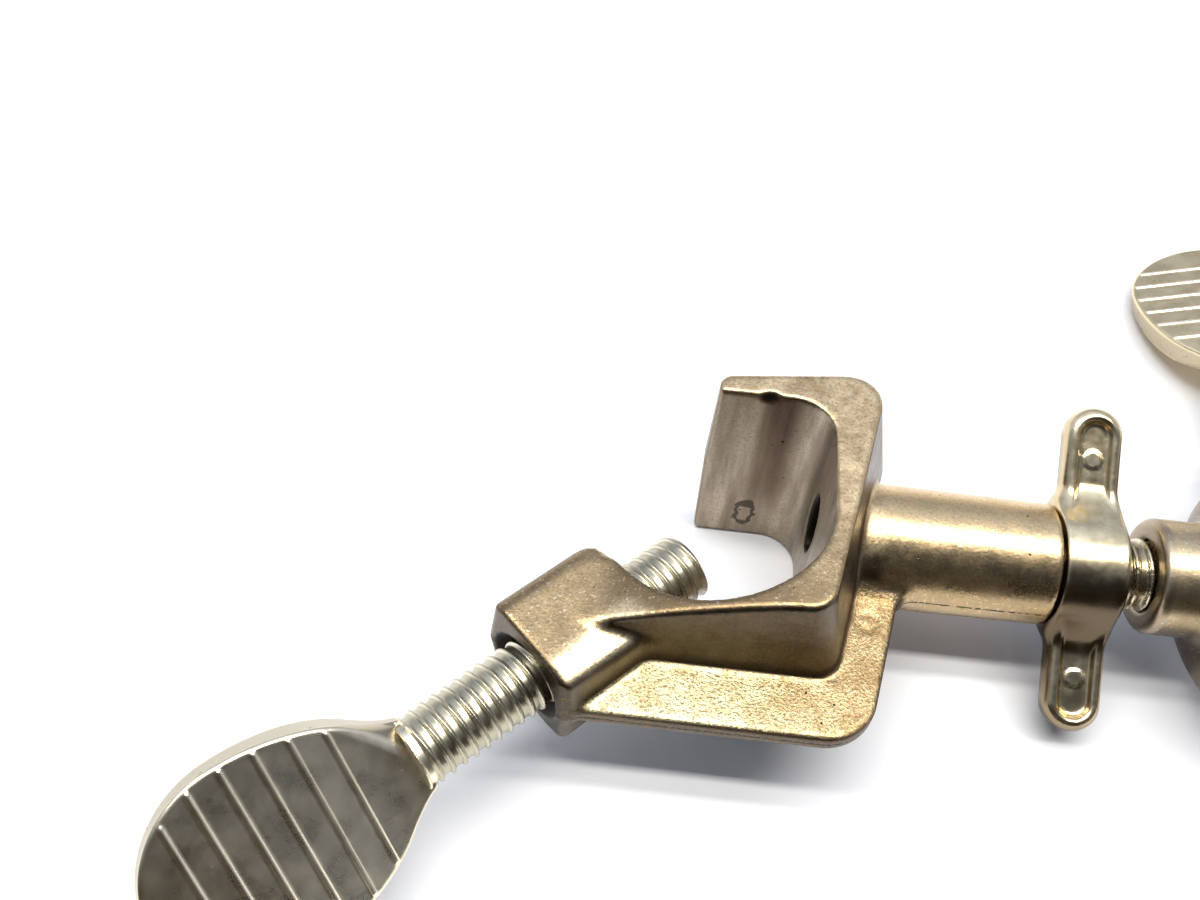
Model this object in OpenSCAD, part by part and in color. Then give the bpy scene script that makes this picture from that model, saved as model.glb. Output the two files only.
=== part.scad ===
// Swivel boss head clamp for laboratory support rods.
// Two cast jaws share one swivel axis. A wing nut on the threaded stud locks
// the swivel, and a thumb screw with an oval spade closes each jaw.
//
// Working frame of the modules: the swivel axis is X, the rod of the first jaw
// runs along Z, and Z = 0 is the parting plane of the first casting. The whole
// part is then shifted so that its origin is the axis of a 12.7 mm rod seated
// in the first jaw. Millimetres.

/* [Swivel] */
// Radius of the first barrel where it leaves the jaw
barrel_r = 7.1; // [6.5:0.1:7.5]
// Radius of the first barrel at its open end
barrel_end_r = 6.9; // [6.5:0.1:7.5]
// Length of the first barrel beyond the jaw's outer wall
barrel_len = 21.9; // [20:0.1:22]
// Radius of the swivel stud over its thread
stud_r = 4.2; // [3.5:0.1:4.5]
// How far the stud reaches into each casting
stud_depth = 14; // [10:0.5:15]

/* [First jaw] */
// Half of the jaw's width along the rod
jaw_half_w = 13.6; // [11:0.1:15]
// Radius of the round hollow that faces the screw
hollow_r = 11.8; // [11:0.1:12.4]
// Thickness of the flange in the parting plane
flange_t = 2.5; // [2:0.1:4]
// Draft of the jaw's outer wall beside the barrel, in degrees
wall_draft = 12; // [4:1:14]
// Draft of the two arms' outer faces, in degrees
arm_draft = 4; // [1:1:6]

/* [Screw boss] */
// Half of the boss's width across the screw
boss_half_w = 6.4; // [5.6:0.1:7]
// Radius of the boss's long edges
boss_edge_r = 1.8; // [0.5:0.1:3]

/* [Thumb screws] */
// Radius of the screw over its thread
screw_r = 3.97; // [3:0.01:4.2]
// Length of the screw from its tip to the neck of the spade
screw_len = 36; // [32:0.5:38]
// Length of the spade from the neck to its round end
spade_len = 28.7; // [26:0.1:30]
// Radius of the round part of the spade
spade_r = 11; // [9:0.1:11.5]
// Thickness of the spade
spade_t = 3.6; // [2.5:0.1:4]
// Height of the ribs above the spade's faces
rib_h = 0.25; // [0.1:0.05:0.4]
// Turn of the first spade about its screw, in degrees
spade_a_turn = 48; // [0:1:60]
// Turn of the second spade about its screw, in degrees
spade_b_turn = 16; // [0:1:18]

/* [Wing nut] */
// Length of the nut's hub along the stud
hub_len = 7.4; // [6:0.1:9]
// Distance from the stud's axis to the tip of a wing
wing_reach = 18.4; // [14:0.1:19]
// Width of a wing along the stud
wing_w = 6.5; // [5:0.1:7]
// Thickness of a wing
wing_t = 3.6; // [2.5:0.1:4.5]
// Depth of the pocket in each face of a wing
pocket_d = 0.9; // [0.4:0.1:1.2]
// Turn of the wings about the stud, in degrees
wing_turn = 34; // [25:1:38]

/* [Second jaw] */
// Radius of the second barrel
barrel_b_r = 6.6; // [6:0.1:7]
// Half of the second jaw's width along its rod
jaw_b_half_w = 11.4; // [9:0.1:11.5]
// Radius of the hook that holds the second rod
hook_r = 9.6; // [8:0.1:9.7]
// Thickness of the hook's wall
hook_wall = 4.2; // [3:0.1:4.5]
// Tilt of the second head about the swivel axis, in degrees
head_b_tilt = 8.5; // [0:0.1:9]

/* [Hidden] */
$fn = 96;

running = 0.05;                 // radial clearance of a thread in its hole
rod_r = 6.35;                   // the 12.7 mm rod that sets the origin
seat_wall_x = -4.4;             // inner face of the first jaw beside the barrel
seat_arm_y = 9;                 // inner face of the first jaw's upper arm
origin = [seat_wall_x - rod_r, seat_arm_y - rod_r, 0];

seat_edge_r = 4.5;              // round between the two seat faces
hollow_centre = [seat_wall_x - hollow_r, -4.5];
arm_tip_x = -17.4;
arm_face_y = 14;                // outer face of the upper arm above the barrel
arm_slant = 8.7;                // slant of that face towards the tip
lower_face_y = -18.5;           // outer face of the lower arm
flange_face_y = -25.2;          // outer edge of the flange
wall_lean = 12.1;               // lean of the outer wall in plan
wall_foot_x = 1.76;             // outer wall on the swivel axis, at the parting plane
flange_gap = 4.5;               // flange's edge beyond that wall

screw_turn = 45;                // direction of the first screw in plan
boss_face = [-34.7, -21.4];     // where the screw's axis enters the boss
boss_len = 13.4;
tip_reach = 22.4;               // the screw's tip beyond the boss's face

nut_x = barrel_len + 0.3;
barrel_b_x = 33.1;              // free end of the second barrel
wall_b_x = 39.5;                // outer wall of the second jaw
shoulder_r = 9.2;               // where that wall starts to fall away round the barrel
screw_b_x = 56.7;               // second screw on the swivel axis
hook_y = -5.9;                  // axis of the second rod below the swivel axis
boss_b_y = [14.5, 26.5];
tip_b_y = 3.8;                  // second screw's tip from the swivel axis
steel = [0.66, 0.65, 0.60];
cast = [0.66, 0.60, 0.50];

function unit(v) = v / norm(v);
function half_angle(a, b, c) = acos(unit(a - b) * unit(c - b)) / 2;

// Convex outline through the points p, each corner rounded to its own radius in r.
module rounded_outline(p, r) {
    n = len(p);
    function prev(i) = p[(i + n - 1) % n];
    function next(i) = p[(i + 1) % n];
    function reach(i) = r[i] / tan(half_angle(prev(i), p[i], next(i)));
    polygon([for (i = [0:n - 1]) each r[i] > 0
        ? [p[i] + unit(prev(i) - p[i]) * reach(i), p[i] + unit(next(i) - p[i]) * reach(i)]
        : [p[i]]]);
    for (i = [0:n - 1]) if (r[i] > 0)
        translate(p[i] + unit(unit(prev(i) - p[i]) + unit(next(i) - p[i]))
            * r[i] / sin(half_angle(prev(i), p[i], next(i))))
            circle(r = r[i]);
}

// Takes off what lies outside a face through the point p, whose outward normal
// is at the given angle in plan and which leans inwards away from the parting plane.
module draft_cut(p, angle, draft, height = 30, depth = 30, length = 90) {
    inset = height * tan(draft);
    translate([p.x, p.y, 0]) rotate([0, 0, angle]) rotate([90, 0, 0])
        linear_extrude(height = length, center = true)
            polygon([[0, 0], [-inset, height], [depth, height], [depth, -height], [-inset, -height]]);
}

// Takes off what stands above a broken line in the XZ plane, on both sides of
// the parting plane, between y0 and y1.
module slope_cut(line, y0, y1, top = 40) {
    for (side = [0, 1]) mirror([0, 0, side])
        translate([0, y1, 0]) rotate([90, 0, 0]) linear_extrude(height = y1 - y0)
            polygon(concat(line, [[line[len(line) - 1].x, top], [line[0].x, top]]));
}

// Cylinder along +X from x0 to x1.
module rod_x(r, x0, x1, r_end = 0) {
    translate([x0, 0, 0]) rotate([0, 90, 0])
        cylinder(h = x1 - x0, r1 = r, r2 = r_end > 0 ? r_end : r);
}

// Square block along +X from x0 to x1 with rounded long edges.
module rounded_bar(half_y, half_z, edge_r, x0, x1) {
    translate([x0, 0, 0]) rotate([90, 0, 90]) linear_extrude(height = x1 - x0)
        rounded_outline([[-half_y, -half_z], [half_y, -half_z], [half_y, half_z], [-half_y, half_z]],
            [edge_r, edge_r, edge_r, edge_r]);
}

// Tapped hole along +X that opens at x0, with a countersink there.
module tapped_hole(r, x0, x1) {
    rod_x(r + running, x0 - 1, x1);
    rod_x(r + 2, x0 - 1, x0 + 1, r);
}

// ---- first casting ----

module jaw_hollow() {
    linear_extrude(height = 80, center = true) {
        translate(hollow_centre) circle(r = hollow_r);
        rounded_outline([[seat_wall_x, hollow_centre.y], [seat_wall_x, seat_arm_y],
            [arm_tip_x - 2.2, seat_arm_y], [arm_tip_x - 2.2, hollow_centre.y]],
            [0, seat_edge_r, 0, 0]);
    }
}

module jaw_body() {
    corner_x = wall_foot_x + tan(wall_lean) * arm_face_y;
    foot_x = wall_foot_x + tan(wall_lean) * lower_face_y;
    difference() {
        linear_extrude(height = 2 * jaw_half_w, center = true)
            rounded_outline([
                [arm_tip_x, arm_face_y + tan(arm_slant) * arm_tip_x * 0.75],
                [arm_tip_x, seat_arm_y - 0.4], [-22, -6], [-27.5, lower_face_y],
                [foot_x, lower_face_y], [corner_x, arm_face_y + 0.4]],
                [1, 0, 0, 0, 2.5, 5]);
        draft_cut([wall_foot_x, 0], -wall_lean, wall_draft);
        draft_cut([-10, lower_face_y], -90, arm_draft);
        draft_cut([-5, arm_face_y], 90 + arm_slant, arm_draft);
        draft_cut([arm_tip_x, 10], 180, 1, length = 8);
        slope_cut([[-30, jaw_half_w * 0.46], [-27.5, jaw_half_w * 0.53], [-9, jaw_half_w]], -40, 0);
    }
}

module flange() {
    edge_x = wall_foot_x + flange_gap;
    corner_x = edge_x + tan(wall_lean) * flange_face_y;
    linear_extrude(height = flange_t, center = true)
        rounded_outline([[-29.5, flange_face_y], [corner_x, flange_face_y], [edge_x, 0], [0, 0],
            [-4, -15], [-25, -16]], [0, 4.5, 0, 0, 0, 0]);
}

module along_screw() {
    translate([boss_face.x, boss_face.y, 0]) rotate([0, 0, screw_turn]) children();
}

module jaw_head() {
    color(cast) difference() {
        union() {
            jaw_body();
            flange();
            along_screw() rounded_bar(boss_half_w, boss_half_w + 0.2, boss_edge_r, 0, boss_len);
            rod_x(barrel_r, -2, barrel_len, barrel_end_r);
        }
        jaw_hollow();
        along_screw() tapped_hole(screw_r, 0, boss_len + 2);
        mirror([1, 0, 0]) tapped_hole(stud_r, -barrel_len, -barrel_len + stud_depth + 2);
    }
}

// ---- thumb screws ----

// Tip at the origin, spade towards -X and flat in the XY plane.
module screw_with_spade() {
    centre = -screw_len - spade_len + spade_r;
    neck = -screw_len;
    rod_x(screw_r - 0.4, -0.4, 0, screw_r - 0.8);
    rod_x(screw_r, neck, -0.4);
    rod_x(2.6, neck - 3.5, neck, screw_r);
    intersection() {
        linear_extrude(height = spade_t, center = true) {
            translate([centre, 0]) circle(r = spade_r);
            polygon([[neck + 1, 3], [neck - 2, 4.6], [neck - 4.4, 7.1], [neck - 7, 8.5], [neck - 10, 9.7],
                [neck - 14, 10.6], [centre, spade_r], [centre, -spade_r], [neck - 14, -10.6],
                [neck - 10, -9.7], [neck - 7, -8.5], [neck - 4.4, -7.1], [neck - 2, -4.6], [neck + 1, -3]]);
        }
        translate([centre, 0, 0]) cylinder(h = spade_t, r = 40, center = true);
    }
    spade_ribs(centre);
}

// Straight ribs across both faces of the spade.
module spade_ribs(centre) {
    rib_w = 0.6;
    pitch = 3.27;
    for (k = [0:5]) {
        x = -screw_len - 7.05 - k * pitch;
        reach = (x - centre) / (x > centre ? 1.52 : 1);
        half = sqrt(spade_r * spade_r - reach * reach) - 0.7;
        translate([x, 0, 0])
            cube([rib_w, 2 * half, spade_t + 2 * rib_h], center = true);
    }
}

module thumb_screw() {
    color(steel) along_screw() translate([tip_reach, 0, 0])
        rotate([spade_a_turn, 0, 0]) screw_with_spade();
}

module swivel_thumb_screw() {
    color(steel) rotate([-head_b_tilt, 0, 0]) translate([screw_b_x, tip_b_y, 0])
        rotate([0, 0, -90]) rotate([spade_b_turn, 0, 0]) screw_with_spade();
}

// ---- wing nut ----

module wing() {
    root = 5;
    mid_x = hub_len * 0.54;
    difference() {
        rotate([90, 0, 0]) linear_extrude(height = wing_t, center = true) {
            translate([mid_x - wing_w / 2, root]) square([wing_w, wing_reach - wing_w / 2 - root]);
            translate([mid_x, wing_reach - wing_w / 2]) circle(r = wing_w / 2);
            polygon([[0.1, root], [mid_x - wing_w / 2, root + 4.5], [mid_x + wing_w / 2, root + 4.5],
                [hub_len - 0.1, root]]);
        }
        for (side = [-1, 1]) translate([mid_x, side * wing_t / 2, 0]) rotate([90, 0, 0])
            linear_extrude(height = 2 * pocket_d, center = true) {
                translate([-wing_w * 0.3, 9.8]) square([wing_w * 0.6, wing_reach - wing_w / 2 - 9.8]);
                translate([0, wing_reach - wing_w / 2]) circle(r = wing_w * 0.3);
            }
    }
}

module wing_nut() {
    color(cast) difference() {
        translate([nut_x, 0, 0]) rotate([wing_turn - 90, 0, 0]) {
            rod_x(barrel_end_r, 0, hub_len);
            wing();
            rotate([180, 0, 0]) wing();
        }
        rod_x(stud_r + running, nut_x - 1, nut_x + hub_len + 1);
    }
}

// ---- swivel stud ----

module swivel_stud() {
    chamfer = 0.8;
    inner_end = barrel_len - stud_depth;
    outer_end = barrel_b_x + stud_depth - 1;
    color(steel) {
        rod_x(stud_r - chamfer, inner_end, inner_end + chamfer, stud_r);
        rod_x(stud_r, inner_end + chamfer, outer_end);
    }
}

// ---- second casting, built with its screw along Y and its rod along Z ----

module hook_body() {
    outer_r = hook_r + hook_wall;
    linear_extrude(height = 2 * jaw_b_half_w, center = true) {
        intersection() {
            translate([screw_b_x, hook_y]) circle(r = outer_r);
            translate([screw_b_x - outer_r, hook_y - outer_r - 1]) square([2 * outer_r + 1, outer_r + 1]);
        }
        rounded_outline([[wall_b_x, 13.2], [wall_b_x, -13.2], [48, hook_y - outer_r],
            [screw_b_x, hook_y - outer_r], [screw_b_x, boss_b_y[0]], [screw_b_x, boss_b_y[0] + 7.2],
            [51, boss_b_y[0] + 7.2]], [5, 5, 6, 0, 0, 0, 3]);
    }
}

module swivel_head() {
    color(cast) rotate([-head_b_tilt, 0, 0]) difference() {
        union() {
            difference() {
                intersection() {
                    hook_body();
                    rod_x(shoulder_r, wall_b_x, wall_b_x + 45, shoulder_r + 67);
                }
                draft_cut([wall_b_x, 0], 180, 6);
                slope_cut([[43, jaw_b_half_w], [50, boss_half_w + 0.2], [70, boss_half_w + 0.2]], 13.8, 40);
            }
            rod_x(barrel_b_r - 0.8, barrel_b_x, barrel_b_x + 0.8, barrel_b_r);
            rod_x(barrel_b_r, barrel_b_x + 0.8, wall_b_x + 4);
            translate([screw_b_x, 0, 0]) rotate([0, 0, 90])
                rounded_bar(boss_half_w, boss_half_w + 0.2, boss_edge_r, boss_b_y[0], boss_b_y[1]);
        }
        linear_extrude(height = 80, center = true) {
            translate([screw_b_x, hook_y]) circle(r = hook_r);
            translate([screw_b_x - hook_r, hook_y]) square([40, boss_b_y[0] - hook_y]);
        }
        translate([screw_b_x, 0, 0]) rotate([0, 0, -90]) tapped_hole(screw_r, -boss_b_y[1], -boss_b_y[0] + 2);
        rod_x(stud_r, barrel_b_x - 1, barrel_b_x + stud_depth - 1);
    }
}

module placed() {
    translate(-origin) children();
}

placed() jaw_head();
placed() thumb_screw();
placed() wing_nut();
placed() swivel_stud();
placed() swivel_head();
placed() swivel_thumb_screw();
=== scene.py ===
"""Looks of the swivel boss head clamp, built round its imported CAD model.

Shapes are worked out in millimetres in the frame of the swivel axis: X runs
along the swivel stud, Z along the rod of the first jaw, and Z = 0 is the
parting plane of the first casting. Every shape is a function of x, y and z
that is negative inside the piece and close to the distance from its surface,
because cast blends, drafts and fillets have no edges for a profile to follow.
"""

import bpy
import numpy as np
from mathutils import Matrix, Vector


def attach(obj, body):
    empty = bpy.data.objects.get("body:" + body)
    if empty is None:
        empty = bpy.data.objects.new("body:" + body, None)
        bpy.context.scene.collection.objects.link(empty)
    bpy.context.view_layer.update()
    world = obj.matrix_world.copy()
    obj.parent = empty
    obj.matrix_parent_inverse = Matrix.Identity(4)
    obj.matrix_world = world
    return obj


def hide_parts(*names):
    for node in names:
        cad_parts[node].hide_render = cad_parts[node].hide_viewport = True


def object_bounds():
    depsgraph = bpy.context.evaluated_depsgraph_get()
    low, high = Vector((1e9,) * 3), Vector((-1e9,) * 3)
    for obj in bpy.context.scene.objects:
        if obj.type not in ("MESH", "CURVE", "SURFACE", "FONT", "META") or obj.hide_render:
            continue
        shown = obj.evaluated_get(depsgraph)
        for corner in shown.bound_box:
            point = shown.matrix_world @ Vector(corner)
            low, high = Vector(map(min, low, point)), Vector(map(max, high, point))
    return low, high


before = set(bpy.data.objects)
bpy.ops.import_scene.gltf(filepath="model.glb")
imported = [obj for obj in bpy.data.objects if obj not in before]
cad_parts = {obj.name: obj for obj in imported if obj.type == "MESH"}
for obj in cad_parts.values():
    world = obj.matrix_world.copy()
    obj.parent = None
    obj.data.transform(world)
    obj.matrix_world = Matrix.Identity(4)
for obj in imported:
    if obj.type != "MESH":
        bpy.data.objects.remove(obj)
cad_low, cad_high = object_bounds()

MM = 0.001
SEAT = np.array([10.75, -2.65, 0.0])  # from the swivel axis' frame to the rod's
HALF = np.sqrt(0.5)


# ---- joining shapes ----

def both(a, b, r=0.0):
    """What a and b share; the edge between them is an arc of radius r."""
    return (np.minimum(np.maximum(a, b), -r)
            + np.hypot(np.maximum(a + r, 0), np.maximum(b + r, 0)))


def either(a, b, r=0.0):
    """a and b together, with a fillet of radius r between them."""
    return -both(-a, -b, r)


def cut(a, b, r=0.0):
    """a without b; the edge that b leaves has radius r."""
    return both(a, -b, r)


def soft(a, b, width):
    """The larger of a and b, eased over a width where they are nearly equal."""
    return np.maximum(a, b) + np.maximum(width - np.abs(a - b), 0) ** 2 / (4 * width)


def face(x, y, h, through, turn, draft=0.0):
    """Distance in front of an upright plane through a point in plan. It looks
    towards turn degrees and leans back by draft degrees as h grows."""
    turn, draft = np.radians(turn), np.radians(draft)
    flat = (x - through[0]) * np.cos(turn) + (y - through[1]) * np.sin(turn)
    return flat * np.cos(draft) + h * np.sin(draft)


def turned(x, y, z, degrees):
    """The point turned about X by minus degrees, as seen from a tilted piece."""
    c, s = np.cos(np.radians(degrees)), np.sin(np.radians(degrees))
    return x, y * c + z * s, z * c - y * s


# ---- first casting ----

JAW_HALF_W = 13.6       # half of the jaw's width along its rod
FLANGE_HALF_T = 1.25
BARREL_R = 7.1
BARREL_END = 21.9
BOSS = np.array([-34.7, -21.4])     # middle of the boss's outer face
BOSS_LENGTH = 13.4
SCREW_TIP = 22.4        # from the boss's outer face, at rest
SCREW_R = 3.97
STUD_R = 4.2
CLEARANCE = 0.05        # between a thread and its hole


def jaw_hollow(x, y):
    """Open region of the jaw in plan: a circle of 11.8 mm that faces the screw,
    and above its middle two flat seats that meet in an arc of 4.5 mm."""
    ring = np.hypot(x + 16.2, y + 4.5) - 11.8
    return np.minimum(ring, np.maximum(both(x + 4.4, y - 9.0, 4.5), -4.5 - y))


def along_screw(x, y):
    """Distances from the boss's outer face along the screw and across it."""
    return (x - BOSS[0] + y - BOSS[1]) * HALF, (x - BOSS[0] - y + BOSS[1]) * HALF


def jaw_arms(x, y, h):
    """Plan outline of drafted planes under a crown that is flat over the upper
    arm and falls by 0.255 d + 0.0042 d^2 towards the boss in the lower one."""
    wall = face(x, y, h, (1.76, 0), -12.1, 12)
    upper = face(x, y, h, (-5, 14.1), 97.9, 4)
    lower = face(x, y, h, (0, -18.5), -90, 4)
    along, across = along_screw(x, y)
    into_boss = both(-across - 4.0, along - BOSS_LENGTH - 3 * np.maximum(across, 0), 2.5)
    end = np.where(y > -4.5, face(x, y, h, (-17.4, 0), 180, 1),
                   np.maximum(-31 - x, into_boss))
    beyond = -8.5 - x
    beyond = 0.5 * (beyond + np.sqrt(beyond ** 2 + 4))
    crown = h - JAW_HALF_W + np.where(y < 0, 0.255 * beyond + 0.0042 * beyond ** 2, 0)
    plan = both(both(both(wall, upper, 5.0), lower, 2.3), end, 1.3)
    return both(plan, crown * 0.95, 0.55)


def screw_boss(x, y, h):
    """Drafted block round the screw. Its far top edge is an arc of 2 mm, and
    its near one a facet that falls by a third and widens towards the arm."""
    along, across = along_screw(x, y)
    top = h - 6.8
    near = across * 0.995 + h * 0.1 - 6.75
    far = -across * 0.995 + h * 0.08 - 6.7
    facet = (h - 6.95 + 0.4 * (across - 3.3 + 0.13 * along)) * 0.93
    outer = -along * 0.996 + h * 0.087 - 0.25
    inner = along - BOSS_LENGTH
    section = both(soft(both(top, far, 2.1), facet, 0.25), near, 0.8)
    ends = np.maximum(both(section, inner, 0.9), both(section, outer, 0.45))
    corners = np.maximum(both(far, outer, 1.3), both(near, outer, 1.2))
    return np.maximum(np.maximum(ends, corners), both(far, inner, 3.2))


def jaw_casting(x, y, z):
    """Arms, boss, flange and barrel in one casting, less the hollow, the two
    tapped holes, an oval opening in the seat, a dent on the upper arm and a
    pin mark on the flange."""
    h = np.abs(z)
    hollow = jaw_hollow(x, y)
    along, across = along_screw(x, y)
    side = face(x, y, h, (6.4, 0), -12.1)
    rim = both(side, face(x, y, h, (0, -25.3), -90), 4.5)
    bound = np.maximum(np.maximum(y, -29.6 - x), -across - 5)
    flange = both(both(rim, h - FLANGE_HALF_T, 0.55), bound, 0.5)
    turn = np.hypot(y, z)
    barrel = both(turn - BARREL_R + 0.2 * x / BARREL_END, x - BARREL_END, 0.35)
    flange = either(flange, both(barrel, -2 - x), 2.0)
    solid = either(jaw_arms(x, y, h), screw_boss(x, y, h), 0.9)
    solid = cut(either(solid, flange, 0.7), hollow, 0.35)
    screw = np.hypot(across, z) - SCREW_R - CLEARANCE - np.maximum(1.5 - along, 0) * 0.8
    solid = cut(solid, np.maximum(screw, along - BOSS_LENGTH - 2), 0.15)
    stud = turn - STUD_R - CLEARANCE - np.maximum(x - BARREL_END + 0.8, 0)
    solid = cut(solid, np.maximum(stud, 5.9 - x), 0.1)
    dent = np.sqrt(((x + 11.5) / 1.3) ** 2 + ((y - 8.8) / 0.75) ** 2
                   + ((h - JAW_HALF_W) / 1.1) ** 2) - 1
    solid = cut(solid, np.where(z > 0, dent * 0.75, 1.0), 0.15)
    bore = (np.hypot((y - 2.6) / 2.2, (z + 0.7) / 4.6) - 1) * 2.2
    solid = cut(solid, np.maximum(bore, np.abs(x + 3.9) - 2.2), 0.25)
    from_pin = np.hypot(x - 1.1, y + 10.9)
    pin = 0.22 * np.exp(-((from_pin - 1.0) / 0.35) ** 2) * (z > 0)
    return solid + np.where(h < 3, pin, 0)


# ---- wing nut ----

NUT_X = (22.2, 29.6)    # ends of the hub
NUT_R = 6.85
WING_X = 26.2           # middle of the wings' width
WING_TURN = 56.0


def wing_nut(x, y, z):
    """Hub with two stadium wings blended into it. A channel along each wing
    face is 0.9 mm deep and rises to the hub on an arc of 2.6 mm."""
    _, v, w = turned(x, y, z, -WING_TURN)   # w runs along the wings, v through them
    v, w = np.abs(v), np.abs(w)
    turn = np.hypot(v, w)
    hub = both(both(turn - NUT_R, x - NUT_X[1], 0.9), NUT_X[0] - x, 0.45)
    outline = np.hypot(x - WING_X, np.maximum(w - 15.15, 0)) - 3.25
    wing = both(outline, v - 1.8, 1.35)
    nut = either(hub, wing, 2.6)
    nut = both(both(nut, x - NUT_X[1], 0.6), NUT_X[0] - x, 0.4)
    floor = 0.9 + np.maximum(9.9 - w, 0) ** 2 / 5.2
    channel = np.hypot(x - WING_X, np.maximum(w - 15.0, 0)) - 1.55 - 0.45 * (v - 0.9)
    nut = cut(nut, np.maximum(both(channel, floor - v, 0.35), 3.5 - w), 0.4)
    pad = np.hypot(x - WING_X, w - 12.4) - 1.05
    nut = np.minimum(nut, both(both(pad, v - 1.08, 0.12), 0.5 - v))
    return cut(nut, turn - STUD_R - CLEARANCE - np.maximum(x - NUT_X[1] + 0.5, 0), 0.15)


# ---- screws ----

def thread(x, y, z, radius, pitch, depth, lead=0.0):
    """Rolled thread along X: a narrow crest that falls by a smooth step to a
    wide flat root, at a phase that turns once for each pitch."""
    phase = (x / pitch - np.arctan2(z, y) / (2 * np.pi) + lead) % 1.0
    flank = np.clip((np.abs(phase - 0.5) - 0.05) / 0.19, 0, 1)
    return (np.hypot(y, z) - radius + depth * flank ** 2 * (3 - 2 * flank)) * 0.75


STUD_X = (7.9, 46.1)    # ends of the stud, inside the two castings


def swivel_stud(x, y, z):
    """Threaded rod with a cone of 0.8 mm at each end."""
    past = np.maximum(STUD_X[0] - x, x - STUD_X[1])
    ends = both(past, np.hypot(y, z) - STUD_R + np.maximum(past + 0.8, 0))
    return both(thread(x, y, z, STUD_R, 1.65, 0.55), ends, 0.15)


NECK = -36.0            # where the shank meets the spade
SPADE_MIDDLE = -53.7
SPADE_R = 10.97
SPADE_T = 3.6
RIB_STEP = 3.27
RIBS = NECK - 7.05 - RIB_STEP * np.arange(6)
TAPER = 0.048           # how fast each face of the spade falls beyond TAPER_X
TAPER_X = -46


def screw_shank(x, y, z):
    """Threaded shank with its flat tip at the origin."""
    ends = both(both(x, np.hypot(y, z) - SCREW_R, 0.15), NECK - 1 - x, 0.3)
    return both(thread(x, y, z, SCREW_R, 1.411, 0.40), ends, 0.12)


def spade_outline(x, y):
    """Round end of 11 mm and an ellipse of 16.7 mm towards the neck, which
    flares into it on an arc of 3 mm."""
    dx, dy = x - SPADE_MIDDLE, np.abs(y)
    reach = np.where(dx > 0, 16.7, SPADE_R)
    near = np.hypot(dx / reach, dy / SPADE_R) + 1e-6
    slope = np.hypot(dx / reach ** 2, dy / SPADE_R ** 2) + 1e-6
    return either(near * (near - 1) / slope, np.maximum(dy - 3.55, NECK - 6 - x), 3.0)


def screw_spade(x, y, z):
    """Oval spade in the XY plane that thins towards its round end, with six
    straight ribs across each face. A bevel on one side of each face leads up to
    the shank."""
    h = np.abs(z) + TAPER * np.maximum(TAPER_X - x, 0)
    outline = spade_outline(x, y)
    spade = both(both(outline, h - SPADE_T / 2, 0.45), x - NECK - 0.1, 0.3)
    bevel = 0.582 * x + 0.409 * y * np.sign(z) + 0.70 * h + 19.75
    spade = both(spade, bevel, 0.6)
    ribs = np.abs((x - RIBS[0] + RIB_STEP / 2) % RIB_STEP - RIB_STEP / 2) - 0.22
    ribs = np.maximum(ribs, np.abs(x - (RIBS[0] + RIBS[5]) / 2) - 8.7)
    ribs = both(both(ribs, h - SPADE_T / 2 - 0.2, 0.12), outline + 0.45, 0.2)
    return either(spade, ribs, 0.15)


# ---- second casting, in its own frame before its tilt ----

TILT = 8.5
HOOK = np.array([56.7, -5.9])       # axis of the second rod
HOOK_R = 9.6
HOOK_OUTER_R = 13.8
HOOK_HALF_W = 11.4
HOOK_WALL_X = 39.5
HOOK_BARREL_X = 33.1
HOOK_SCREW_TIP = 3.8    # along Y, at rest


def hook_casting(x, y, z):
    """Barrel, wall and open hook round the second rod, and a drafted boss that
    carries the second screw along Y. A cone round the barrel cuts the wall's
    corners back, and the hollow of the rod is cut through both."""
    h = np.abs(z)
    across = x - HOOK[0]
    reach = np.hypot(across, y - HOOK[1])
    wall = face(x, y, h, (HOOK_WALL_X, 0), 180, 6)
    lower = face(x, y, h, (HOOK_WALL_X, -13.2), 239, 3)
    upper = face(x, y, h, (HOOK_WALL_X, 10.9), 126.5, 3)
    left = both(both(both(wall, lower, 5), upper, 5), y - 21.7, 3)
    bottom = HOOK[1] - HOOK_OUTER_R - y
    left = both(left, bottom, np.clip(-across * 0.6, 0.5, 6))
    left = np.where(y > 10, both(left, across, 2.0), left)
    right = both(reach - HOOK_OUTER_R, y - HOOK[1], 1.2)
    outline = np.where(x < HOOK[0], left, right)
    ramp = (h - HOOK_HALF_W + np.maximum(y - 12.5, 0) * 0.62) * 0.88
    body = both(outline, soft(h - HOOK_HALF_W, ramp, 1.2), 0.6)
    turn = np.hypot(y, z)
    body = both(body, (turn - 9.2 - 1.49 * (x - HOOK_WALL_X)) * 0.56, 1.5)
    boss = both(h - 6.7, np.abs(across) - 6.75 + 0.08 * h, 1.5)
    boss = both(boss, y - 26.3 + 0.08 * h, 0.6)
    body = either(body, both(boss, 14.5 - y), 2.0)
    hollow = both(both(HOOK[0] - HOOK_R - x, y - 14.5, 1.5), HOOK[1] - y)
    hollow = np.minimum(reach - HOOK_R, hollow)
    body = cut(body, hollow, 0.4)
    barrel = both(turn - 6.6, HOOK_BARREL_X - x, 0.9)
    body = either(body, both(barrel, x - 44), 1.6)
    dish = np.hypot(turn, HOOK_BARREL_X - 14.8 - x) - 15.0
    body = cut(body, dish, 0.1)
    screw = np.hypot(across, z) - SCREW_R - CLEARANCE - np.maximum(y - 25.3, 0)
    body = cut(body, np.maximum(screw, 12.5 - y), 0.15)
    return cut(body, np.maximum(turn - STUD_R, x - 44.0), 0.1)


# ---- meshing ----

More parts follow.
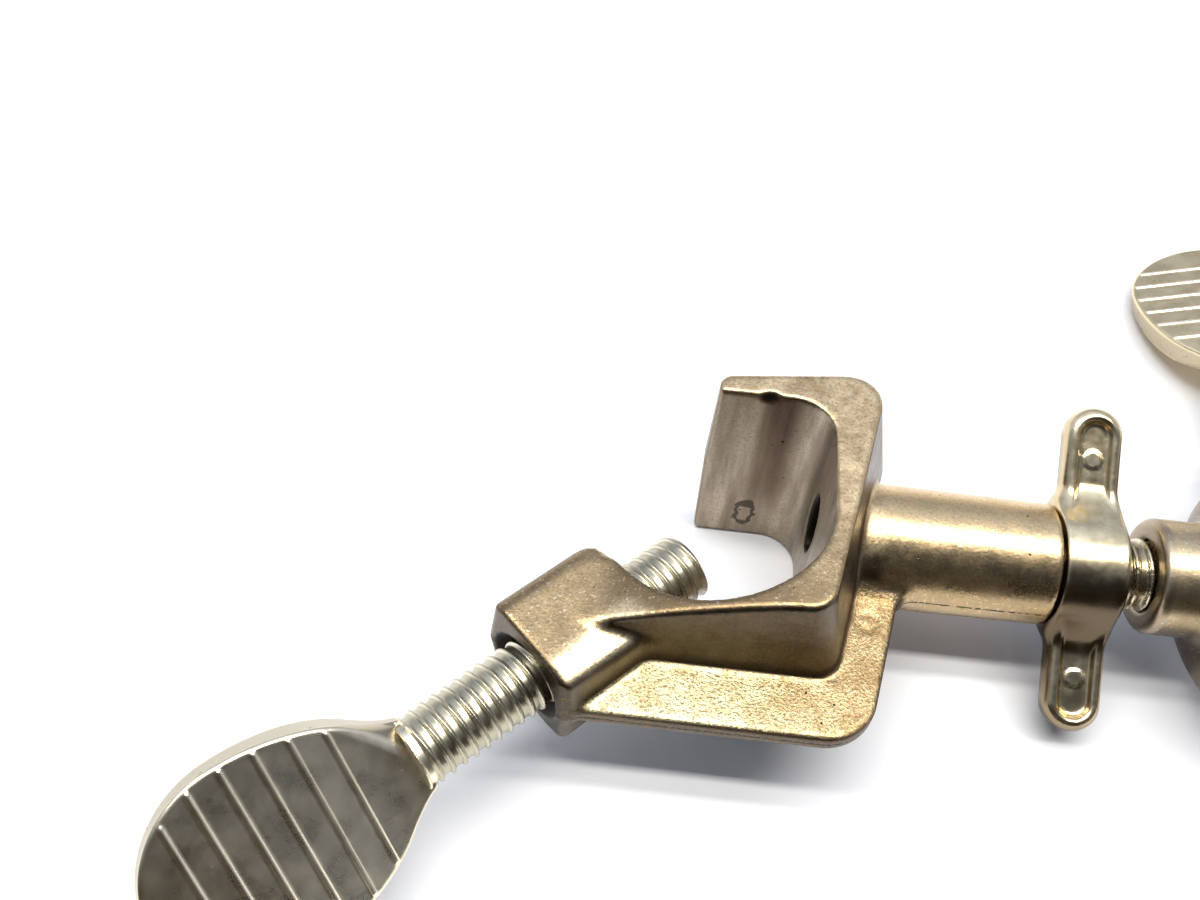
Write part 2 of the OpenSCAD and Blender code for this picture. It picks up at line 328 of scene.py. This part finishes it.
def slide(points, shape):
    """Points moved down the shape's slope onto its surface, and the slope."""
    gap = 0.03
    x, y, z = points.T
    slope = np.stack([shape(x + gap, y, z) - shape(x - gap, y, z),
                      shape(x, y + gap, z) - shape(x, y - gap, z),
                      shape(x, y, z + gap) - shape(x, y, z - gap)], 1) / (2 * gap)
    steep = np.maximum((slope ** 2).sum(1), 0.05)
    move = np.clip(shape(x, y, z) / steep, -0.4, 0.4)
    return points - slope * move[:, None], slope / np.sqrt(steep)[:, None]


def skin(shape, low, high, step):
    """Closed mesh of a shape's zero surface. Each grid cell that the surface
    passes through gets one point, the mean of the crossings on its edges, and
    each crossed grid edge joins the four cells round it. The points are then
    evened out along the surface and moved onto it."""
    axes = [np.arange(a, b + step, step) for a, b in zip(low, high)]
    value = shape(*np.meshgrid(*axes, indexing="ij", sparse=True))
    size = np.array(value.shape)
    stride = np.array([size[1] * size[2], size[2], 1])
    crossings, rings = [], []
    for axis in range(3):
        near = np.take(value, np.arange(size[axis] - 1), axis)
        far = np.take(value, np.arange(1, size[axis]), axis)
        spot = np.argwhere((near < 0) != (far < 0))
        a, b = near[tuple(spot.T)], far[tuple(spot.T)]
        cross = spot.astype(float)
        cross[:, axis] += a / (a - b)
        one, two = stride[(axis + 1) % 3], stride[(axis + 2) % 3]
        ring = (spot @ stride)[:, None] - np.array([0, one, one + two, two])
        ring[a > 0] = ring[a > 0][:, ::-1]
        crossings.append(np.repeat(cross, 4, axis=0))
        rings.append(ring)
    crossings = np.concatenate(crossings)
    _, index = np.unique(np.concatenate(rings).ravel(), return_inverse=True)
    index = index.ravel()
    count = np.bincount(index)
    points = np.stack([np.bincount(index, crossings[:, i]) for i in range(3)], 1)
    points = points / count[:, None] * step + np.array(low)
    quads = index.reshape(-1, 4)
    ahead = np.roll(quads, -1, axis=1).ravel()
    for _ in range(3):
        points, slope = slide(points, shape)
        mean = np.stack([np.bincount(quads.ravel(), points[ahead, i]) for i in range(3)], 1)
        drift = mean / count[:, None] - points
        points = points + 0.5 * (drift - slope * (drift * slope).sum(1)[:, None])
    for _ in range(3):
        points, slope = slide(points, shape)
    return points, quads, slope


def add_piece(name, shape, low, high, step, body, material, turn=None, shift=(0, 0, 0)):
    """Meshes a shape and puts it where the CAD nodes it stands for are. The
    attributes edge and nook say how close a corner or a hollow is, and local
    keeps the place on the piece in millimetres."""
    points, quads, slope = skin(shape, low, high, step)
    x, y, z = (points - 0.6 * slope).T
    edge = np.clip(shape(x, y, z) / 0.6 + 1, 0, 1)
    x, y, z = (points + 0.9 * slope).T
    nook = np.clip(1 - shape(x, y, z) / 0.9, 0, 1)
    turn = np.eye(3) if turn is None else turn
    placed = (points @ turn.T + np.array(shift) + SEAT) * MM
    mesh = bpy.data.meshes.new(name)
    mesh.vertices.add(len(points))
    mesh.vertices.foreach_set("co", placed.astype(np.float32).ravel())
    mesh.loops.add(quads.size)
    mesh.loops.foreach_set("vertex_index", quads.astype(np.int32).ravel())
    mesh.polygons.add(len(quads))
    mesh.polygons.foreach_set("loop_start", np.arange(0, quads.size, 4, dtype=np.int32))
    mesh.polygons.foreach_set("use_smooth", np.ones(len(quads), bool))
    mesh.update(calc_edges=True)
    for key, values in (("edge", edge), ("nook", nook)):
        mesh.attributes.new(key, "FLOAT", "POINT").data.foreach_set(
            "value", values.astype(np.float32))
    mesh.attributes.new("local", "FLOAT_VECTOR", "POINT").data.foreach_set(
        "vector", points.astype(np.float32).ravel())
    mesh.validate()
    mesh.materials.append(material)
    piece = bpy.data.objects.new(name, mesh)
    bpy.context.scene.collection.objects.link(piece)
    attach(piece, body)
    return piece


def about(axis, degrees):
    """3x3 turn by degrees about X or Z."""
    return np.array(Matrix.Rotation(np.radians(degrees), 3, axis))


# ---- materials ----

class Wire:
    """An output of a shader node. Arithmetic on it adds Math nodes."""

    def __init__(self, socket):
        self.socket = socket

    def math(self, operation, *values):
        tree = self.socket.id_data
        node = tree.nodes.new("ShaderNodeMath")
        node.operation = operation
        for slot, value in zip(node.inputs, values):
            plug(slot, value)
        return Wire(node.outputs[0])

    def __add__(self, other):
        return self.math("ADD", self, other)

    __radd__ = __add__

    def __sub__(self, other):
        return self.math("SUBTRACT", self, other)

    def __rsub__(self, other):
        return self.math("SUBTRACT", other, self)

    def __mul__(self, other):
        return self.math("MULTIPLY", self, other)

    __rmul__ = __mul__

    def __truediv__(self, other):
        return self.math("DIVIDE", self, other)

    def __rtruediv__(self, other):
        return self.math("DIVIDE", other, self)

    def size(self):
        return self.math("ABSOLUTE", self)

    def above(self, other):
        return self.math("MAXIMUM", self, other)

    def hypot(self, other):
        square = self * self + other * other
        return square.math("SQRT", square)


def plug(slot, value):
    """Links a Wire to an input, or sets the input to a value."""
    if isinstance(value, Wire):
        slot.id_data.links.new(value.socket, slot)
    elif isinstance(value, (tuple, list)) and len(value) == 3 and len(slot.default_value) == 4:
        slot.default_value = (*value, 1.0)
    else:
        slot.default_value = value


class Nodes:
    """A node tree, emptied, and the ways to fill it."""

    def __init__(self, tree):
        self.tree = tree
        tree.nodes.clear()

    def node(self, kind, settings=None, out=0, **sockets):
        """Adds a node: its settings first, then its sockets' values or links."""
        node = self.tree.nodes.new(kind)
        for key, value in (settings or {}).items():
            setattr(node, key, value)
        for key, value in sockets.items():
            place = int(key[1:]) if key[1:].isdigit() else key.replace("_", " ")
            plug(node.inputs[place], value)
        return Wire(node.outputs[out]) if len(node.outputs) else None

    def ease(self, value, low, high, to_low=0.0, to_high=1.0):
        """Smooth step of a value from low to high."""
        return self.node("ShaderNodeMapRange", {"interpolation_type": "SMOOTHSTEP"},
                         Value=value, From_Min=low, From_Max=high,
                         To_Min=to_low, To_Max=to_high)

    def mix(self, share, a, b):
        """Colour a to colour b by a share."""
        return self.node("ShaderNodeMix", {"data_type": "RGBA"}, out=2,
                         _0=share, _6=a, _7=b)

    def parts(self, vector):
        """The three components of a vector."""
        node = self.tree.nodes.new("ShaderNodeSeparateXYZ")
        plug(node.inputs[0], vector)
        return [Wire(out) for out in node.outputs]


class Finish(Nodes):
    """A material, and the nodes that its finish is built from."""

    def __init__(self, name):
        self.material = bpy.data.materials.new(name)
        self.material.use_nodes = True
        super().__init__(self.material.node_tree)
        self.place = self.node("ShaderNodeTexCoord", out="Object")

    def attribute(self, name, out="Fac"):
        return self.node("ShaderNodeAttribute", {"attribute_name": name}, out=out)

    def local(self):
        """Place on the piece in millimetres, before its turn and shift."""
        return self.parts(self.attribute("local", "Vector"))

    def upward(self):
        """How far the surface looks up, -1 to 1."""
        return self.parts(self.node("ShaderNodeTexCoord", out="Normal"))[2]

    def edge_and_nook(self):
        """How close a corner and a hollow are, 0 to 1 each."""
        return self.attribute("edge"), self.attribute("nook")

    def noise(self, size_mm, detail=2.0, rough=0.5, stretch=None):
        """Noise with features of about a size, 0 to 1."""
        vector = self.place
        if stretch:
            vector = self.node("ShaderNodeVectorMath", {"operation": "MULTIPLY"},
                               _0=vector, _1=stretch)
        return self.node("ShaderNodeTexNoise", out="Fac", Vector=vector,
                         Scale=1 / (size_mm * MM), Detail=detail, Roughness=rough)

    def metal(self, colour, roughness, height, strength, reach):
        """Closes the material with a metal shader and a bump of the height, whose
        reach is in millimetres."""
        bump = self.node("ShaderNodeBump", Height=height, Strength=strength,
                         Distance=reach * MM)
        return self.close(self.node("ShaderNodeBsdfPrincipled", Base_Color=colour,
                                    Roughness=roughness, Metallic=1.0, Normal=bump))

    def card(self, colour):
        """Closes the material as plain matt card."""
        return self.close(self.node("ShaderNodeBsdfDiffuse", Color=colour))

    def close(self, surface):
        """Ends the material with its surface."""
        self.node("ShaderNodeOutputMaterial", Surface=surface)
        return self.material


def jaw_finish():
    """Worn satin nickel over cast zinc. The tops are rubbed bright and speckled with painted
    glints, darker towards the boss, with painted shade on the crown beside it and on the boss's
    far edge and a painted highlight on the boss's near facet. The sides and the boss's outer end
    are painted dark as shade, and so are the creases, the mouth of the screw hole and the oval
    opening. The flange is golden and coarse, and marks of use lie in the hollow, whose lining
    carries painted reflection streaks and painted shade."""
    f = Finish("jaw_finish")
    x, y, z = f.local()
    high = z.size()
    up = f.upward()
    edge, nook = f.edge_and_nook()
    top, base = f.ease(up, 0.45, 0.9), f.ease(up, -0.5, -0.9)
    barrel = f.ease(x, 1.6, 3.0) * f.ease(y.hypot(z), 7.9, 7.4)
    outside = (x * 0.978 - y * 0.21 - 1.5).above(-18.4 - y)
    flange = f.ease(outside, 0.1, 0.5) * f.ease(high, 3.4, 2.0) * f.ease(y, -5.5, -6.5)
    flange = flange * f.ease(x, -30.0, -29.0) * (1 - barrel)
    hollow = f.ease((x + 16.2).hypot(y + 4.5), 12.1, 11.9).above(
        f.ease(x, -4.2, -4.4) * f.ease(y, 9.2, 9.0) * f.ease(y, -4.6, -4.4)) * (1 - top)
    along, across = along_screw(x, y)
    facet = f.ease(across, 1.8, 4.0) * f.ease(along, 12.3, 10.3)
    # Painted shade in the mouth of the screw hole.
    mouth = f.ease(across.hypot(z), 5.5, 5.0) * f.ease(along, 2.4, 1.2)
    behind = f.ease(across, -3.4, -6.4) * f.ease(along, 16.0, 13.5)
    boss_end = f.ease(along, 1.4, 0.6) * f.ease(across, 7.6, 7.0)
    crown = f.ease(along, 8.5, 12.5) * f.ease(along, 27.0, 19.0) * f.ease(across, -4.0, 0.0)
    # Mask that darkens the tops towards the boss, except on the facet.
    dull = f.ease(y, -5.0, -13.0) * (1 - facet)

    blotch = f.noise(2.4, 4, 0.65)
    broad = f.noise(10, 2)
    grain = f.noise(0.32, 3, 0.7)
    speck = f.noise(0.35, 2, 0.5)
    top_colour = f.mix(f.ease(blotch, 0.3, 0.7), (0.62, 0.43, 0.22), (0.82, 0.63, 0.37))
    top_colour = f.mix(dull * 0.8, top_colour, (0.38, 0.27, 0.14))
    # Painted highlight: the boss's near facet is painted brighter, where it catches the lamp.
    top_colour = f.mix(facet * 0.7, top_colour, (0.98, 0.82, 0.52))
    # Painted shade: the boss's far rounded edge is painted dark brown.
    top_colour = f.mix(behind * 0.75, top_colour, (0.15, 0.10, 0.055))
    # Painted shade: the crown of the lower arm beside the boss is painted brown.
    top_colour = f.mix(crown * 0.7, top_colour, (0.20, 0.135, 0.07))
    # Painted shade: the sides are painted dark brown, while tops and rubbed edges keep the top
    # colour.
    side = f.mix(f.ease(blotch, 0.3, 0.7), (0.10, 0.080, 0.054), (0.16, 0.13, 0.090))
    side = f.mix(base, side, (0.60, 0.60, 0.60))
    colour = f.mix(top.above(edge * 0.8), side, top_colour)
    # Painted shade: the boss's outer end is painted dark, more so towards its near side.
    colour = f.mix(boss_end * f.ease(across, -3.0, 3.0, 0.4, 0.85), colour, (0.07, 0.055, 0.035))
    # Painted reflection and shade: the hollow's lining is darker than the tops, with vertical
    # reflection streaks, and darker still in the middle of the upper arm's inner face.
    streak = f.noise(2.2, 3, 0.6, stretch=(1.0, 1.0, 0.12))
    lining = f.mix(f.ease(streak, 0.3, 0.7), (0.22, 0.18, 0.135), (0.46, 0.39, 0.30))
    shade = f.ease((x + 9.4).size(), 3.0, 0.9) * f.ease(z, -10.0, -2.0)
    lining = f.mix(shade * f.ease(y, 7.6, 8.8) * 0.8, lining, (0.12, 0.082, 0.058))
    colour = f.mix(hollow * (1 - edge), colour, lining)
    golden = f.mix(f.ease(blotch, 0.35, 0.65), (0.84, 0.76, 0.46), (0.60, 0.48, 0.25))
    reddish = f.mix(f.ease(blotch, 0.35, 0.65), (0.60, 0.45, 0.23), (0.40, 0.27, 0.12))
    golden = f.mix(f.ease(x, -16.0, 0.0), golden, reddish)
    golden = f.mix(f.ease(nook, 0.15, 0.7) * 0.8, golden, (0.44, 0.26, 0.08))
    colour = f.mix(flange * top, colour, golden)
    tube = f.mix(f.ease(broad, 0.35, 0.65), (0.80, 0.58, 0.30), (0.74, 0.54, 0.29))
    # Painted shade: the barrel's lower near side is painted dark brown.
    under = f.ease(up, 0.75, 0.2) * f.ease(y, 0.0, -2.0) * 0.5
    tube = f.mix(under, tube, (0.22, 0.155, 0.085))
    colour = f.mix(barrel, colour, tube)
    dirt = f.ease(grain, 0.50, 0.62) * (0.5 + flange * 0.3 - barrel * 0.2)
    colour = f.mix(dirt, colour, (0.24, 0.15, 0.07))
    # Painted glints: fine bright specks on the tops and the barrel.
    bright = f.ease(speck, 0.60, 0.72) * top.above(barrel) * 0.4
    colour = f.mix(bright, colour, (1.0, 0.92, 0.70))
    # Painted shade: darker in creases and corners, less on the flange.
    crease_shade = f.ease(nook, 0.6, 1.0) * (0.25 - flange * 0.25)
    colour = f.mix(crease_shade, colour, (0.10, 0.07, 0.04))

    pits = f.ease(f.noise(0.55, 1, 0.4), 0.25, 0.19) * f.ease(broad, 0.40, 0.55)
    ring = ((x + 11.4) / 1.3).hypot((z + 9.0) / 2.8) + (f.noise(1.1, 2) - 0.5) * 1.1 - 0.8
    ring = f.ease(ring.size(), 0.28, 0.14) * f.ease(y, 8.6, 8.9) * f.ease(y, 9.4, 9.2)
    # Painted shade: the oval opening in the seat is painted near black inside.
    oval = f.ease(((y - 2.6) / 2.2).hypot((z + 0.7) / 4.6), 1.16, 1.06)
    oval = oval * f.ease(x, -4.9, -4.4) * f.ease(x, 1.0, 0.0)
    dent = f.ease(((x + 11.5) / 1.2).hypot((y - 8.8) / 0.8).hypot((z - 13.3) / 0.9), 1.15, 0.8)
    seam = f.ease(high + (f.noise(1.6, 2) - 0.5) * 0.35, 0.20, 0.08) * f.ease(speck, 0.40, 0.52)
    seam = seam * f.ease(up.size(), 0.7, 0.4) * (1 - hollow)
    # Real marks (pits, the ring, the parting seam, the dent) together with the painted shade in
    # the oval opening and in the mouth of the screw hole.
    mark = pits.above(ring * 0.75).above(oval).above(seam * 0.85).above(dent).above(mouth)
    colour = f.mix(mark, colour, (0.030, 0.024, 0.018))
    rough = f.ease(blotch, 0.3, 0.7, 0.30, 0.40) + flange * 0.06 - barrel * 0.05 + mark * 0.2
    height = grain * (0.8 + flange * 1.6 - barrel * 0.4) + speck * (0.5 + flange * 0.8)
    return f.metal(colour, rough, height - mark * 0.8, 0.7, 0.05)


def hook_finish():
    """The same nickel on the second casting, with a duller barrel. Its sides and the lower side
    of its barrel are painted dark as shade, its creases carry painted shade and its tops painted
    glints.
    """
    f = Finish("hook_finish")
    x = f.local()[0]
    up = f.upward()
    edge, nook = f.edge_and_nook()
    barrel = f.ease(x, 39.6, 38.8)
    blotch = f.noise(2.4, 4, 0.65)
    grain = f.noise(0.32, 3, 0.7)
    speck = f.noise(0.5, 2, 0.5)
    top_colour = f.mix(f.ease(blotch, 0.3, 0.7), (0.62, 0.43, 0.22), (0.82, 0.63, 0.37))
    # Painted shade: the sides are painted dark brown, while tops and rubbed edges keep the top
    # colour.
    side = f.mix(f.ease(blotch, 0.3, 0.7), (0.16, 0.12, 0.08), (0.24, 0.18, 0.12))
    side = f.mix(f.ease(up, -0.5, -0.9), side, (0.60, 0.60, 0.60))
    colour = f.mix(f.ease(up, 0.45, 0.9).above(edge * 0.7), side, top_colour)
    tube = f.mix(f.ease(blotch, 0.3, 0.7), (0.72, 0.56, 0.34), (0.60, 0.47, 0.28))
    # Painted shade: the barrel's downward side is painted nearly black.
    tube = f.mix(f.ease(up, 0.4, -0.2) * 0.93, tube, (0.09, 0.068, 0.042))
    colour = f.mix(barrel, colour, tube)
    colour = f.mix(f.ease(x, 34.6, 34.0) * 0.8, colour, (0.42, 0.34, 0.24))
    colour = f.mix(f.ease(grain, 0.53, 0.68) * 0.4, colour, (0.24, 0.15, 0.07))
    # Painted glints: fine bright specks.
    colour = f.mix(f.ease(speck, 0.64, 0.74) * 0.5, colour, (1.0, 0.92, 0.70))
    # Painted shade: darker in creases and corners.
    colour = f.mix(f.ease(nook, 0.55, 1.0) * 0.7, colour, (0.12, 0.08, 0.04))
    rough = f.ease(blotch, 0.3, 0.7, 0.28, 0.38)
    return f.metal(colour, rough, grain * 0.8 + speck * 0.5, 0.6, 0.04)


def nut_finish():
    """Smoother, paler nickel of the wing nut. Its rims are rubbed and painted bright as a
    highlight, its lower side, its underside and the root of its lower wing are painted brown and
    dark as shade, and there is dirt in its pockets."""
    f = Finish("nut_finish")
    y = f.local()[1]
    up = f.upward()
    edge, nook = f.edge_and_nook()
    blotch = f.noise(2.0, 4, 0.6)
    grain = f.noise(0.25, 3, 0.7)
    colour = f.mix(f.ease(blotch, 0.3, 0.7), (0.76, 0.61, 0.35), (0.92, 0.78, 0.50))
    # Rubbed rims, painted brighter still as a highlight.
    colour = f.mix(edge * 0.7, colour, (1.0, 0.94, 0.74))
    # Painted shade: brown on the lower side, nearly black where the surface faces down.
    under = f.ease(up, 0.75, 0.25) * f.ease(y, 3.0, -2.0, 0.35, 0.9)
    colour = f.mix(under, colour, (0.24, 0.175, 0.11))
    colour = f.mix(f.ease(up, 0.1, -0.2) * 0.95, colour, (0.055, 0.040, 0.024))
    # Painted shade: dark at the root of the lower wing and the hub beside it.
    root = f.ease(y, -3.5, -5.5) * f.ease(y, -9.5, -8.0) * (1 - edge)
    colour = f.mix(root * 0.65, colour, (0.05, 0.036, 0.02))
    colour = f.mix(f.ease(nook, 0.3, 0.95) * 0.6, colour, (0.42, 0.32, 0.15))
    colour = f.mix(f.ease(grain, 0.6, 0.75) * 0.4, colour, (0.25, 0.17, 0.09))
    rough = f.ease(blotch, 0.3, 0.7, 0.19, 0.28) + f.ease(nook, 0.3, 0.9) * 0.1
    return f.metal(colour, rough, grain, 0.5, 0.02)


def steel_finish(name, dark, light, rib):
    """Dulled zinc on a thumb screw: dark to light on the spade's faces, brighter on its ribs and
    edges, partly rubbed metal and partly painted highlight, with a painted highlight on the
    thread's crests, painted shade in the thread's roots, and rust spots."""
    f = Finish(name)
    x, _, z = f.local()
    edge, nook = f.edge_and_nook()
    blotch = f.noise(3.0, 3, 0.6)
    grain = f.noise(0.28, 3, 0.7)
    spade = f.ease(x, -35.8, -36.2)
    high = z.size() + (TAPER_X - x).above(0.0) * TAPER
    raised = f.ease(high, 1.84, 1.93)
    dull = f.mix(f.ease(blotch, 0.25, 0.75), dark, light)
    bare = f.mix(f.ease(blotch, 0.3, 0.7), (0.43, 0.39, 0.28), (0.57, 0.52, 0.38))
    colour = f.mix(spade, bare, dull)
    colour = f.mix(spade * f.ease(high, 1.65, 1.2) * 0.8, colour, (0.40, 0.35, 0.26))
    # Ribs and edges: partly rubbed metal, partly painted highlight.
    colour = f.mix(spade * (raised.above(edge * 0.75)), colour, rib)
    # Painted shade in the thread's roots.
    colour = f.mix((1 - spade) * f.ease(nook, 0.35, 0.9) * 0.55, colour, (0.30, 0.26, 0.17))
    # Painted highlight on the thread's crests.
    colour = f.mix((1 - spade) * f.ease(edge, 0.45, 0.9) * 0.5, colour, (0.98, 0.95, 0.80))
    rust = f.ease(f.noise(0.9, 2, 0.5), 0.70, 0.76) * f.ease(f.noise(6, 2), 0.45, 0.6)
    colour = f.mix(rust * 0.8, colour, (0.16, 0.06, 0.03))
    colour = f.mix(f.ease(grain, 0.6, 0.75) * 0.3, colour, (0.30, 0.24, 0.16))
    rough = f.ease(blotch, 0.3, 0.7, 0.26, 0.34) + rust * 0.3
    return f.metal(colour, rough, grain, 0.4, 0.015)


def stud_finish():
    """Plated stud, with a painted golden highlight on the crests, brown in the thread and painted
    shade in its roots.
    """
    f = Finish("stud_finish")
    edge, nook = f.edge_and_nook()
    grain = f.noise(0.3, 3, 0.6)
    # Painted highlight: brown to golden from the thread's flanks to its crests.
    colour = f.mix(f.ease(edge, 0.2, 0.8), (0.45, 0.37, 0.24), (0.85, 0.77, 0.56))
    # Painted shade in the thread's roots.
    colour = f.mix(f.ease(nook, 0.3, 0.9) * 0.8, colour, (0.11, 0.08, 0.04))
    return f.metal(colour, f.ease(grain, 0.2, 0.8, 0.2, 0.3), grain, 0.4, 0.015)


# ---- pieces ----

piece = add_piece("jaw_casting", jaw_casting, (-41, -29, -14.6), (23, 15.2, 14.6), 0.4,
                  "jaw_head", jaw_finish())
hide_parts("jaw_head")

piece = add_piece("wing_nut_casting", wing_nut, (21, -16.5, -12.5), (31, 16.5, 12.5), 0.25,
                  "wing_nut", nut_finish())
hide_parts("wing_nut")

piece = add_piece("threaded_stud", swivel_stud, (7, -5, -5), (47, 5, 5), 0.3,
                  "swivel_head", stud_finish())
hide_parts("swivel_stud")

piece = add_piece("hook_casting", hook_casting, (32, -20, -12.4), (72, 28, 12.4), 0.42,
                  "swivel_head", hook_finish(), about("X", -TILT))
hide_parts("swivel_head")


def add_screw(name, body, steel, turn, shift):
    """A thumb screw: its shank and its spade."""
    shank = add_piece(name + "_shank", screw_shank, (-37.4, -4.3, -4.3), (0.4, 4.3, 4.3), 0.13,
                      body, steel, turn, shift)
    spade = add_piece(name + "_spade", screw_spade, (-66, -12, -4.2), (-35, 12, 4.2), 0.2,
                      body, steel, turn, shift)
    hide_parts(body)
    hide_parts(body)


add_screw("jaw_screw", "thumb_screw",
          steel_finish("grey_steel", (0.84, 0.74, 0.53), (0.97, 0.86, 0.64), (1.0, 0.90, 0.68)),
          about("Z", 45) @ about("X", 48),
          (BOSS[0] + SCREW_TIP * HALF, BOSS[1] + SCREW_TIP * HALF, 0))
tilted = about("X", -TILT)
add_screw("hook_screw", "swivel_thumb_screw",
          steel_finish("golden_steel", (0.78, 0.61, 0.34), (0.92, 0.75, 0.46), (1.0, 0.90, 0.66)),
          tilted @ about("Z", -90) @ about("X", 16),
          tilted @ np.array([HOOK[0], HOOK_SCREW_TIP, 0]))


# ---- floor, lights and camera ----

floor_z = cad_low.z
span = 1.2
mesh = bpy.data.meshes.new("floor")
mesh.from_pydata([(-span, -span, floor_z), (span, -span, floor_z),
                  (span, span, floor_z), (-span, span, floor_z)], [], [(0, 1, 2, 3)])
floor = bpy.data.objects.new("floor", mesh)
bpy.context.scene.collection.objects.link(floor)
mesh.materials.append(Finish("white_card").card((0.95, 0.95, 0.95)))


def strip_lamp(name, y, watts):
    """A long tube lamp that runs along X above the floor and shines down."""
    data = bpy.data.lights.new(name, "AREA")
    data.shape, data.size, data.size_y = "RECTANGLE", 1.30, 0.072
    data.energy, data.color = watts, (1.0, 0.985, 0.96)
    light = bpy.data.objects.new(name, data)
    light.location = (0.01, y, 0.9 + floor_z)
    bpy.context.scene.collection.objects.link(light)


strip_lamp("near_tube", -0.090, 6.6)
strip_lamp("far_tube", 0.078, 5.4)

dark = Finish("dark_card").card((0.05, 0.04, 0.03))


def dark_card(name, y, low_x, high_x):
    """A dark card on edge in front of the part, which only reflections show."""
    mesh = bpy.data.meshes.new(name)
    mesh.from_pydata([(low_x, y, floor_z), (high_x, y, floor_z),
                      (high_x, y, 0.02), (low_x, y, 0.02)], [], [(0, 1, 2, 3)])
    mesh.materials.append(dark)
    card = bpy.data.objects.new(name, mesh)
    bpy.context.scene.collection.objects.link(card)
    card.visible_camera = False
    card.visible_diffuse = False
    card.visible_shadow = False


dark_card("left_card", -0.078, -0.16, -0.015)
dark_card("right_card", -0.053, -0.015, 0.16)

world = bpy.data.worlds.new("studio")
bpy.context.scene.world = world
world.use_nodes = True
room = Nodes(world.node_tree)
# Dim room: a pale wall behind the part, a glow over it, a little light from both
# sides and the ceiling, and a warm white sweep that carries the floor on.
across, away, height = room.parts(room.node("ShaderNodeTexCoord", out="Generated"))
far = room.ease(away, -0.05, 0.35)
wall = far * 0.38 + room.ease(across, -0.25, -0.9, 0.0, 0.25)
ceiling = room.ease(height, 0.6, 0.95, 0.0, 0.12)
sweep = room.ease(height, 0.08, 0.24, 1.0, 0.0) * far
side = room.ease(across, 0.55, 0.9, 0.0, 0.16)
glow = room.ease(height, 0.45, 0.8, 0.0, 0.28) * far
level = wall + side + ceiling + glow + 0.035
tone = room.mix(sweep, room.mix(level, (0, 0, 0), (0.96, 1.09, 1.40)), (0.92, 0.88, 0.82))
back = room.node("ShaderNodeBackground", Color=tone)
room.node("ShaderNodeOutputWorld", Surface=back)

AIM = Vector((-0.01921, 0.00666, 0.0))
AZIMUTH, ELEVATION, ROLL = np.radians((2.1, 52.4, 4.66))
DISTANCE = 0.1456
toward = Vector((np.sin(AZIMUTH) * np.cos(ELEVATION), -np.cos(AZIMUTH) * np.cos(ELEVATION),
                 np.sin(ELEVATION)))
right = Vector((np.cos(AZIMUTH), np.sin(AZIMUTH), 0))
up = toward.cross(right)
level_right = right * np.cos(ROLL) + up * np.sin(ROLL)
level_up = up * np.cos(ROLL) - right * np.sin(ROLL)
data = bpy.data.cameras.new("camera")
data.sensor_width, data.lens = 36.0, 36.414
data.clip_start, data.clip_end = 0.01, 10.0
camera = bpy.data.objects.new("camera", data)
camera.matrix_world = Matrix((level_right, level_up, toward)).transposed().to_4x4()
camera.location = AIM + toward * DISTANCE
bpy.context.scene.collection.objects.link(camera)
bpy.context.scene.camera = camera
bpy.context.scene.view_settings.view_transform = "Standard"
